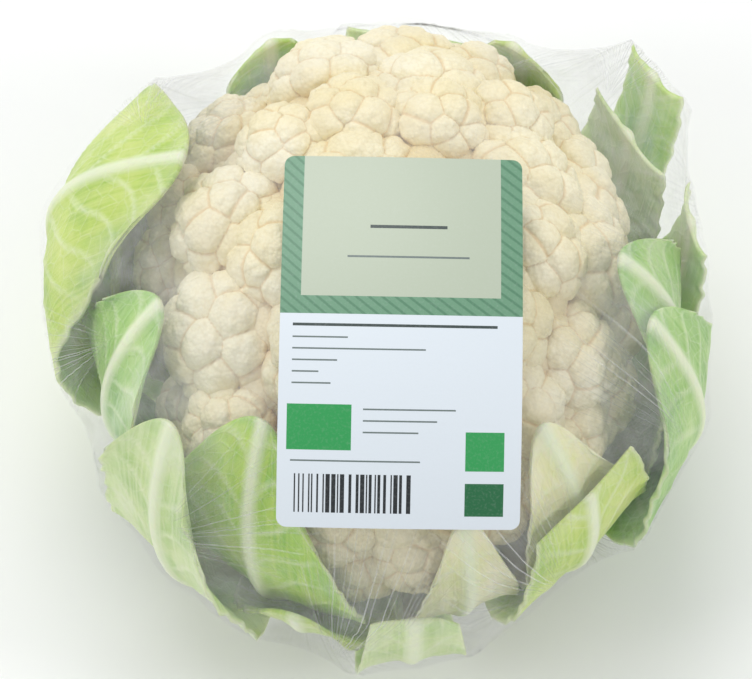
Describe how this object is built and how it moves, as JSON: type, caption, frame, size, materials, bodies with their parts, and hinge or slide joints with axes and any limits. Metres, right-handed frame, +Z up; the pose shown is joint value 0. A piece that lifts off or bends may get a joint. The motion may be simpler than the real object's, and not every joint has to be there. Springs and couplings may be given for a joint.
{
  "type": "cauliflower",
  "caption": "Whole cauliflower head with trimmed leaves round a bumpy cream curd, in tight clear wrap with a plain paper label, standing on its cut stem.",
  "frame": {"origin": "middle of the stem's flat cut face, which stands on the surface", "axes": "+Z up along the stem to the curd's top; -Y to the front, where the label faces"},
  "size_m": [0.1808, 0.1934, 0.1221],
  "materials": {
    "curd": "matt cream curd",
    "stem": "moist cut stem",
    "leaf_lime": "smooth yellow-green leaf",
    "leaf_bright": "smooth bright green leaf",
    "leaf_green": "smooth green leaf",
    "leaf_pale": "smooth pale green leaf",
    "leaf_blanched": "smooth blanched leaf",
    "film": "clear glossy wrap",
    "label": "smooth printed paper"
  },
  "bodies": {
    "root": {"curd": "curd", "stem": "stem", "film": "film", "label": "label", "leaf_inner_left": "leaf_lime", "leaf_inner_front_left": "leaf_bright", "leaf_inner_front": "leaf_blanched", "leaf_inner_front_right": "leaf_blanched", "leaf_inner_back_right": "leaf_lime", "leaf_inner_back": "leaf_bright", "leaf_left": "leaf_green", "leaf_front_low": "leaf_lime", "leaf_front_right": "leaf_lime", "leaf_right": "leaf_green", "leaf_back_right": "leaf_pale", "leaf_back": "leaf_pale", "leaf_back_left": "leaf_green", "leaf_outer_left": "leaf_lime", "leaf_outer_front_left": "leaf_pale", "leaf_outer_front": "leaf_pale", "leaf_outer_right": "leaf_green", "leaf_outer_right_end": "leaf_pale", "leaf_outer_back_right": "leaf_bright"}
  },
  "joints": []
}
